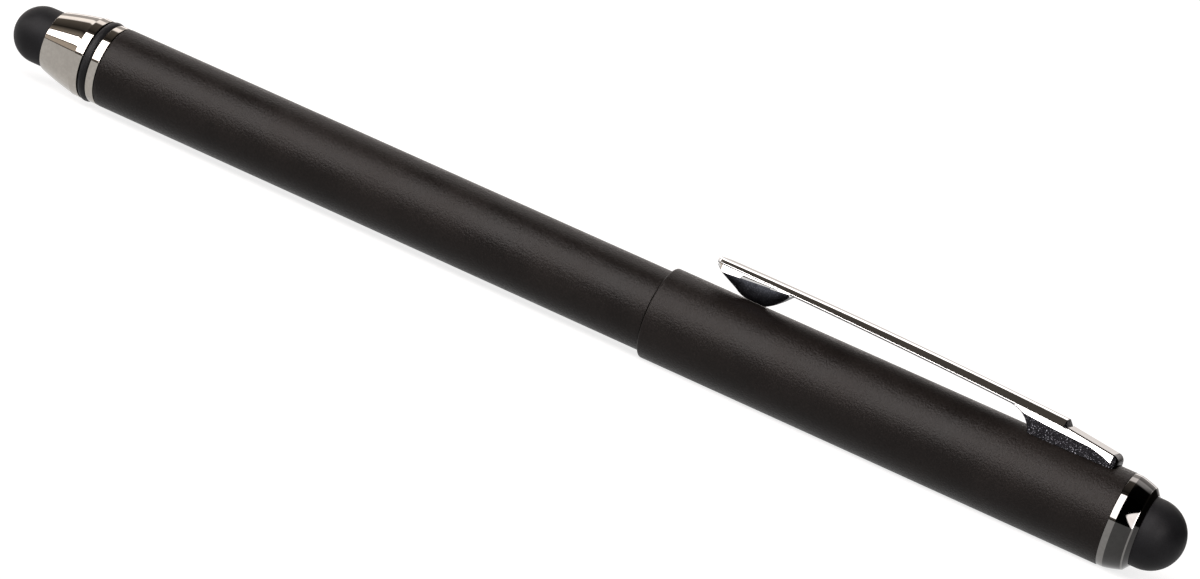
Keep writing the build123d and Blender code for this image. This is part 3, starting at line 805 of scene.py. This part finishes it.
# The root's flanks, the spine's end step and the heel get a near-black copy of the chrome. It is painted
# shade for the dark cap they reflect, with lighter specks for the cast grain.
cast_specks_and_painted_shade_chrome = finish("cast_specks_and_painted_shade_chrome", dark=(0.0014, 0.0014, 0.0016), light=(0.0052, 0.0052, 0.0059),
                     grain=7500, mottle=900, roughness=0.4, spread=0.2, bump=0.5, depth=0.03 * MM,
                     metallic=1.0, specks=22.0)
# The foot's hull and downward faces get a dark copy of the chrome. It is painted shade for the black cap
# under them, with a few specks of cast grain.
hull_specks_and_painted_shade_chrome = finish("hull_specks_and_painted_shade_chrome", dark=(0.04, 0.042, 0.05), light=(0.11, 0.115, 0.135), grain=7500,
                     mottle=900, roughness=0.45, spread=0.2, bump=0.4, depth=0.02 * MM, metallic=1.0,
                     specks=2.0)
free_end = ends("pocket_clip")[1]
spine_end = heel + SPINE_FROM_HEEL


def bowed(x, heights):
    """A bowed line's height, from its heights at the arm's free end, its middle and the spine's end."""
    points = list(zip((free_end, mouth - ARM_MIDDLE, spine_end), heights))
    middle = circle_through(*points)
    return middle.y + sqrt((Vector(points[0]) - middle).length_squared - (x - middle.x) ** 2)


def arch(x):
    """The height of the arm's upper edge over the pen's axis."""
    return bowed(x, ARM_HEIGHTS)


def nose_half(x, half):
    """Half the arm's width where its free end is rounded in plan."""
    into = max(0, ARM_NOSE_R - (free_end - x))
    return half - ARM_NOSE_R + sqrt(max(0, ARM_NOSE_R**2 - into**2))


def loft(name, sections):
    """A closed mesh through loops (x, points) of as many (y, height) points each."""
    work = bmesh.new()
    loops = [[work.verts.new((x, y, axis_height + z)) for y, z in points] for x, points in sections]
    for one, other in zip(loops, loops[1:]):
        for n in range(len(one)):
            work.faces.new((one[n - 1], one[n], other[n], other[n - 1]))
    work.faces.new(loops[0])
    work.faces.new(loops[-1])
    bmesh.ops.recalc_face_normals(work, faces=work.faces)
    mesh = bpy.data.meshes.new(name)
    work.to_mesh(mesh)
    work.free()
    return new_object(name, mesh)


def arm_section(x):
    """The arm across: a thin edge, bevels up to the spine, which grows towards the root, and a crown."""
    half = nose_half(x, ARM_HALF)
    crest = bowed(x, SPINE_HEIGHTS) - arch(x)
    crest *= min(1, SPINE_END_SHARE + (1 - SPINE_END_SHARE) * (x - spine_end) / SPINE_END_BEVEL)
    top = half - crest
    side = [(half - ARM_UNDER_BEVEL, arch(x) - ARM_EDGE, 0), (half, arch(x) - ARM_EDGE + ARM_UNDER_BEVEL, 0),
            (half, arch(x), CLIP_EDGE), (top, arch(x) + crest, SPINE_TOP_EDGE),
            (top / 2, arch(x) + crest + SPINE_CROWN_SHARE * SPINE_CROWN, 0)]
    crown = [(0, arch(x) + crest + SPINE_CROWN, 0)]
    return x, outline(side + crown + [(-y, z, edge) for y, z, edge in reversed(side)])[:-1]


nose_turns = spaced(0, pi / 2, NOSE_STATIONS)
nose_places = [free_end - ARM_NOSE_R * (1 - cos(turn)) for turn in nose_turns[:-1]]
arm_start = free_end - ARM_NOSE_R
bevel_start = spine_end + SPINE_END_BEVEL
arm_places = spaced(arm_start, bevel_start, ARM_STATIONS)
clip = loft("clip", [arm_section(x) for x in nose_places + arm_places + [spine_end]])

FOOT_HALF = 1.73 * MM
FOOT_NOSE = 0.4 * MM
FOOT_NOSE_DROP = 0.25 * MM
FOOT_TOUCH_FROM = 7.85 * MM
FOOT_TOUCH_TO = 10.75 * MM
FOOT_BACK = 13.35 * MM
FOOT_BELLY = 0.18 * MM
FOOT_FRONT_R = 3.0 * MM
FOOT_GAP = 0.015 * MM
FOOT_STEPS = 14
FOOT_FULLNESS_SHARE = 1.4
FOOT_RIM = 0.12 * MM
HULL_DRAW_SHARE = 1.2
FOOT_DRAFT_SHARE = 0.16
FOOT_STATION = 0.3 * MM
CHINE_PLACES = (5.76 * MM, 12.3 * MM)
CHINE_HEIGHTS = (7.21 * MM, 7.75 * MM)
foot_front = free_end - FOOT_NOSE
foot_touch = cap_r + FOOT_GAP
foot_back = mouth - FOOT_BACK
foot_under = arch(foot_back) - ARM_EDGE
keel_front = outline([(foot_front, arch(foot_front) - ARM_EDGE - FOOT_NOSE_DROP, 0),
                      (mouth - FOOT_TOUCH_FROM, foot_touch, FOOT_FRONT_R),
                      (mouth - FOOT_TOUCH_TO, foot_touch, 0)], closed=False)
keel_belly = (mouth - (FOOT_TOUCH_TO + FOOT_BACK) / 2 - FOOT_BELLY,
              (foot_touch + foot_under) / 2 - FOOT_BELLY)
keel_back = arc((mouth - FOOT_TOUCH_TO, foot_touch), keel_belly, (foot_back, foot_under), FOOT_STEPS)
keel_corners = keel_front[:-1] + keel_back[:-1]
keel = keel_corners[:1]
for corner in keel_corners[1:]:
    steps = max(1, round((corner - keel[-1]).length / FOOT_STATION))
    keel += [keel[-1].lerp(corner, n / steps) for n in range(1, steps + 1)]


def chine(x):
    """The height of the edge between the foot's upright sides and its hull."""
    share = (mouth - x - CHINE_PLACES[0]) / (CHINE_PLACES[1] - CHINE_PLACES[0])
    return CHINE_HEIGHTS[0] + share * (CHINE_HEIGHTS[1] - CHINE_HEIGHTS[0])


def foot_section(x, keel_height):
    """The foot across: upright sides under the arm, and a hull drawn in from the chine to the keel."""
    half = nose_half(x, FOOT_HALF)
    top = arch(x) - ARM_EDGE / 2
    knuckle = min(top - CLIP_EDGE, max(chine(x), keel_height + FOOT_RIM))
    draw = min(half, HULL_DRAW_SHARE * (knuckle - keel_height))
    hull = []
    for turn in spaced(0, pi, 2 * FOOT_STEPS):
        out = half - draw + draw * abs(cos(turn)) ** (2 / FOOT_FULLNESS_SHARE)
        down = (knuckle - keel_height) * abs(sin(turn)) ** (2 / FOOT_FULLNESS_SHARE)
        hull.append((out if turn < pi / 2 else -out, knuckle - down))
    top_half = half - FOOT_DRAFT_SHARE * (top - knuckle)
    return x, [(top_half, top)] + hull + [(-top_half, top)]


foot = loft("foot", [foot_section(x, z) for x, z in keel])

ROOT_LENGTH = 10.1 * MM
ROOT_BEND = 3.1 * MM
ROOT_TOP_HALF = 1.72 * MM
ROOT_CREASE_HALF = 2.2 * MM
ROOT_SKIRT_HALF = 2.35 * MM
ROOT_UNDER_BEVEL = 0.1 * MM
ROOT_BEVEL = 0.13 * MM
ROOT_HIGH = 6.98 * MM
ROOT_FLARE_SHARE = 0.38
ROOT_FLANK_SHARE = 0.32
ROOT_BEVEL_RUN = 0.05 * MM
ROOT_GAP = 0.05 * MM
ROOT_SINK = ARM_EDGE / 3
ROOT_CREASE_PLACES = (-41.4 * MM, -44.4 * MM, -49.7 * MM, -51.2 * MM, -53.2 * MM)
ROOT_CREASE_HEIGHTS = (6.55 * MM, 6.31 * MM, 6.06 * MM, 5.72 * MM, 5.05 * MM)
ROOT_HEEL_HEIGHT = 6.2 * MM
ROOT_HEEL_R = 0.8 * MM
ROOT_STATIONS = 40
ROOT_STEPS = 10
HEEL_CORNER_R = 0.5 * MM
HEEL_PAINTED_SHADE_RUN = 0.9 * MM
root_front = heel + ROOT_LENGTH
root_bend = root_front + ROOT_BEND
root_clear = cap_r + ROOT_GAP
skirt_height = sqrt(root_clear**2 - ROOT_SKIRT_HALF**2)
bend_height = arch(root_bend) - ARM_EDGE
bend_drop = bend_height - skirt_height
bend_r = (ROOT_BEND**2 + bend_drop**2) / (2 * bend_drop)


def bend_low(x):
    """The height of the root's front edge, which curves down from the arm to the cap."""
    into = min(root_bend - x, ROOT_BEND)
    return bend_height - bend_r + sqrt(bend_r**2 - into**2)


def crease(x):
    """The height of the edge between the root's bright upper sides and its flanks, which are painted
    near-black as shade.
    """
    points = list(zip(ROOT_CREASE_PLACES, ROOT_CREASE_HEIGHTS))
    for (near, near_height), (far, far_height) in zip(points, points[1:]):
        if x - mouth >= far:
            return near_height + (far_height - near_height) * (x - mouth - near) / (far - near)
    return far_height


def root_section(x):
    """The root across: a bevelled top, sides that widen to a crease and a skirt, and hollow over the cap."""
    low = bend_low(x)
    grown = min(root_bend - x, ROOT_BEND) / ROOT_BEND
    bevel = ROOT_BEVEL * min(1, max(0, (spine_end - x) / ROOT_BEVEL_RUN)) + CLIP_EDGE
    if x > spine_end:
        top = arch(x) - ROOT_SINK
    else:
        slope = (ROOT_HIGH - ROOT_HEEL_HEIGHT) / (spine_end - heel)
        top = ROOT_HEEL_HEIGHT + slope * (x - heel)
    over = max(0, ROOT_HEEL_R - (x - heel))
    top -= ROOT_HEEL_R - sqrt(ROOT_HEEL_R**2 - over**2)
    corner = max(0, HEEL_CORNER_R - (x - heel))
    draw = HEEL_CORNER_R - sqrt(HEEL_CORNER_R**2 - corner**2)
    edge = min(top - bevel - 2 * CLIP_EDGE, max(low + ROOT_UNDER_BEVEL, crease(x)))
    flare = min(grown * (ROOT_CREASE_HALF - ROOT_TOP_HALF), ROOT_FLARE_SHARE * (top - bevel - edge))
    crease_half = ROOT_TOP_HALF + flare - draw
    skirt = min(crease_half + ROOT_FLANK_SHARE * (edge - low), ROOT_SKIRT_HALF - draw)
    side = [(ROOT_TOP_HALF - draw - bevel, top, 0), (ROOT_TOP_HALF - draw, top - bevel, 0),
            (crease_half, edge, 0)]
    under = [(y, max(low, sqrt(root_clear**2 - y**2)), 0) for y in spaced(skirt, -skirt, ROOT_STEPS)]
    left = [(-y, z, edge) for y, z, edge in reversed(side)]
    return x, outline(side + under + left)[:-1]


root_places = spaced(root_bend, heel + ROOT_HEEL_R, ROOT_STATIONS)[1:]
heel_places = [heel + ROOT_HEEL_R * (1 - sin(turn)) for turn in nose_turns[1:]]
root = loft("root", [root_section(x) for x in root_places + heel_places])

TANG_FROM_HEEL = 3.1 * MM
TANG_LENGTH = 1.8 * MM
TANG_HALF = 1.0 * MM
TANG_PEEN = 0.15 * MM
FACING_DOWN_SHARE = -0.3
tang_front = heel + TANG_FROM_HEEL
tang_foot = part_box("clip_lock")[0].z - axis_height - TANG_PEEN
tang_top = (cap_r + ROOT_HEEL_HEIGHT) / 2
tang_loop = outline([(TANG_HALF, tang_foot, FINE_EDGE), (TANG_HALF, tang_top, FINE_EDGE),
                     (-TANG_HALF, tang_top, FINE_EDGE), (-TANG_HALF, tang_foot, FINE_EDGE)])[:-1]
tang = loft("tang", [(tang_front, tang_loop), (tang_front + TANG_LENGTH, tang_loop)])


def clip_finish(face):
    """A face's place in the clip's finishes: polished, near-black painted shade with cast specks on the
    root's flanks, spine step and heel, or dark painted shade with a few specks on the foot's hull and
    downward faces.
    """
    x, y, z = face.center
    z -= axis_height
    if x > foot_back:
        # The hull and faces turned down take the painted shade.
        hull = z < chine(x) - CLIP_EDGE / 2 and z < arch(x) - 2 * ARM_EDGE
        return 2 * int(hull or face.normal.z < FACING_DOWN_SHARE)
    if x > root_bend:
        return 0
    low = max(crease(x), bend_low(x) + ROOT_UNDER_BEVEL)
    flank = z < low - CLIP_EDGE / 2 and abs(y) > TANG_HALF + CLIP_EDGE
    step = spine_end < x < bevel_start and z > arch(x)
    # The flanks, the spine's end step and the heel take the near-black painted shade.
    return int(flank or step or x < heel + HEEL_PAINTED_SHADE_RUN)


for part in (foot, root, tang):
    joined = clip.modifiers.new(part.name, "BOOLEAN")
    joined.operation = "UNION"
    joined.solver = "EXACT"
    joined.object = part
made_mesh(clip, CLIP_CREASE)
for part in (foot, root, tang):
    bpy.data.objects.remove(part)
clip.data.materials.clear()
for material in (clip_chrome, cast_specks_and_painted_shade_chrome, hull_specks_and_painted_shade_chrome):
    clip.data.materials.append(material)
for face in clip.data.polygons:
    face.material_index = clip_finish(face)
fit(clip, "pocket_clip", "clip")

# Clip lock: a plate stamped from spring steel, inside the cap. It sits on the clip's tang, which is peened
# over it.
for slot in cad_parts["clip_lock"].material_slots:
    slot.material = spring_steel

# Floor and light: a plain white table that glows a little, under a studio with a long, dark-framed soft box
# on the camera's side, a small lamp beyond the cap's end, a dim brown room and a pale back wall. They light
# the pen at a plain level, a share of the level at which the chrome shows them.
FLOOR_HALF = 8.0
FLOOR_COLOUR = (0.4, 0.4, 0.4, 1)
FLOOR_GLOW = 0.78
LIT_SHARE = 0.35
SOFT_BOX_LEVEL = 9.6
SOFT_BOX_MIDDLE_SHARE = 0.205
SOFT_BOX_HALF_SHARES = (0.168, 0.075)
SOFT_BOX_END_SHARES = (-0.13, -0.08)
SOFT_BOX_NARROW_SHARES = (0.5, 0.7)
LAMP_LEVEL = 20.0
LAMP_MIDDLE_SHARE = 0.14
LAMP_HALF_SHARE = 0.165
LAMP_NARROW_SHARES = (-0.33, -0.55)
LAMP_START_SHARES = (-0.33, -0.37)
LAMP_END_SHARES = (-0.66, -0.62)
BAND_EDGE_SHARE = 0.006
FRAME_SHARES = (0.014, 0.024)
SIDE_ROOM_LEVEL = 0.1
LIGHT_COLOUR = (1.0, 0.945, 0.93)
ROOM_COLOUR = (1.0, 0.86, 0.74)
ROOM_SHARES = ((0.0, 0.05), (0.01, 0.05), (0.02, 1.0), (0.2, 1.0), (0.42, 0.03), (0.45, 0.08), (0.63, 0.22))
WALL_SHARES = ((0.0, 0.0), (0.63, 0.0), (0.66, 1.0), (0.74, 1.0), (0.77, 0.25), (0.885, 0.25), (0.9, 1.0),
               (0.922, 1.0), (0.936, 0.4), (0.957, 0.2), (1.0, 0.2))
WALL_LEVEL = 2.4
WALL_END_SHARES = (-0.3, -0.15)
floor_mesh = bpy.data.meshes.new("floor")
floor_corners = [(x * FLOOR_HALF, y * FLOOR_HALF, cad_low.z) for x, y in ((-1, -1), (1, -1), (1, 1), (-1, 1))]
floor_mesh.from_pydata(floor_corners, [], [(0, 1, 2, 3)])
floor = new_object("floor", floor_mesh)
floor_paper = bpy.data.materials.new("floor_paper")
floor_paper.use_nodes = True
paper = floor_paper.node_tree
paper.nodes.remove(paper.nodes["Principled BSDF"])
matt = add(paper, "ShaderNodeBsdfDiffuse", {"Color": FLOOR_COLOUR})
rays = add(paper, "ShaderNodeLightPath").outputs
direct = calculated(paper, "MAXIMUM", rays["Is Camera Ray"], rays["Is Glossy Ray"])
seen = calculated(paper, "MAXIMUM", direct, rays["Is Transmission Ray"])
light = add(paper, "ShaderNodeEmission", {"Strength": calculated(paper, "MULTIPLY", seen, FLOOR_GLOW)})
whole = add(paper, "ShaderNodeAddShader", {0: matt.outputs[0], 1: light.outputs[0]})
paper.links.new(whole.outputs[0], paper.nodes["Material Output"].inputs["Surface"])
floor_mesh.materials.append(floor_paper)

studio = bpy.data.worlds.new("studio")
studio.use_nodes = True
sky = studio.node_tree
toward = add(sky, "ShaderNodeSeparateXYZ", {0: add(sky, "ShaderNodeTexCoord").outputs["Generated"]}).outputs
around = calculated(sky, "DIVIDE", calculated(sky, "ARCTAN2", toward["Z"], toward["Y"]), pi)


def outside(middle_share, half_shares, narrow_shares):
    """How far a direction is outside a band about the pen that narrows along it."""
    half = ramped(sky, toward["X"], *narrow_shares, *half_shares)
    off = calculated(sky, "ABSOLUTE", calculated(sky, "SUBTRACT", around, middle_share))
    return calculated(sky, "SUBTRACT", off, half)


def levels(shares):
    """Levels round the pen, from the camera's horizon over the top to the back."""
    node = add(sky, "ShaderNodeValToRGB", {"Fac": around})
    ramp = node.color_ramp.elements
    while len(ramp) < len(shares):
        ramp.new(1.0)
    for band, (place, level) in zip(ramp, shares):
        band.position = place
        band.color = (level, level, level, 1)
    return node.outputs[0]


def coloured(level, colour):
    """A colour at a level."""
    return add(sky, "ShaderNodeVectorMath", {0: colour, "Scale": level}, operation="SCALE").outputs[0]


box_off = outside(SOFT_BOX_MIDDLE_SHARE, SOFT_BOX_HALF_SHARES, SOFT_BOX_NARROW_SHARES)
box_band = ramped(sky, box_off, -BAND_EDGE_SHARE, BAND_EDGE_SHARE, SOFT_BOX_LEVEL, 0.0)
soft_box = calculated(sky, "MULTIPLY", box_band, ramped(sky, toward["X"], *SOFT_BOX_END_SHARES))
lamp_off = outside(LAMP_MIDDLE_SHARE, (0.0, LAMP_HALF_SHARE), LAMP_NARROW_SHARES)
lamp_band = ramped(sky, lamp_off, -BAND_EDGE_SHARE, BAND_EDGE_SHARE, LAMP_LEVEL, 0.0)
lamp_start = ramped(sky, toward["X"], *LAMP_START_SHARES)
lamp_length = calculated(sky, "MULTIPLY", lamp_start, ramped(sky, toward["X"], *LAMP_END_SHARES))
lamp = calculated(sky, "MULTIPLY", lamp_band, lamp_length)
side = ramped(sky, toward["X"], *SOFT_BOX_END_SHARES, SIDE_ROOM_LEVEL)
framed = calculated(sky, "MULTIPLY", side, ramped(sky, box_off, *FRAME_SHARES))
room = calculated(sky, "MULTIPLY", levels(ROOM_SHARES), framed)
wall_end = ramped(sky, toward["X"], *WALL_END_SHARES, 0.0, WALL_LEVEL)
wall = calculated(sky, "MULTIPLY", levels(WALL_SHARES), wall_end)
lamps = calculated(sky, "ADD", calculated(sky, "ADD", soft_box, lamp), wall)
light_colour = calculated(sky, "ADD", coloured(lamps, LIGHT_COLOUR), coloured(room, ROOM_COLOUR),
                          kind="ShaderNodeVectorMath")
shown = ramped(sky, add(sky, "ShaderNodeLightPath").outputs["Is Glossy Ray"], 0.0, 1.0, LIT_SHARE)
sky.links.new(light_colour, sky.nodes["Background"].inputs["Color"])
sky.links.new(shown, sky.nodes["Background"].inputs["Strength"])
bpy.context.scene.world = studio
bpy.context.scene.view_settings.view_transform = "Standard"

# Camera: a long lens a little above the clip's side and towards the cap's end, tilted so that the pen runs
# from the upper left to the lower right of the picture.
SENSOR = 36.0
PICTURE_WIDTH = 1200
FOCAL_PIXELS = 4345
CAMERA_DISTANCE = 0.476
CAMERA_SWING = radians(16.0)
CAMERA_RISE = radians(8.5)
PICTURE_SLANT = radians(24.25)
AIM_FROM_MIDDLE = -3.02 * MM
AIM_PIXELS = (0.9, 3.1)
LENS_NEAR = 10 * MM
LENS_FAR = 100.0
toward_camera = Vector((-sin(CAMERA_SWING), cos(CAMERA_SWING) * cos(CAMERA_RISE),
                        cos(CAMERA_SWING) * sin(CAMERA_RISE)))
along_pen = Vector((-1, 0, 0))
along_pen = (along_pen - along_pen.dot(toward_camera) * toward_camera).normalized()
over_pen = toward_camera.cross(along_pen)
right = cos(PICTURE_SLANT) * along_pen + sin(PICTURE_SLANT) * over_pen
upward = cos(PICTURE_SLANT) * over_pen - sin(PICTURE_SLANT) * along_pen
aim = Vector(((cad_low.x + cad_high.x) / 2 + AIM_FROM_MIDDLE, 0, axis_height))
aim -= (right * AIM_PIXELS[0] + upward * AIM_PIXELS[1]) * CAMERA_DISTANCE / FOCAL_PIXELS
lens = bpy.data.cameras.new("camera")
lens.sensor_width = SENSOR
lens.lens = SENSOR * FOCAL_PIXELS / PICTURE_WIDTH
lens.clip_start = LENS_NEAR
lens.clip_end = LENS_FAR
camera = bpy.data.objects.new("camera", lens)
bpy.context.scene.collection.objects.link(camera)
turn_to = Matrix((right, upward, toward_camera)).transposed().to_4x4()
camera.matrix_world = Matrix.Translation(aim + toward_camera * CAMERA_DISTANCE) @ turn_to
bpy.context.scene.camera = camera
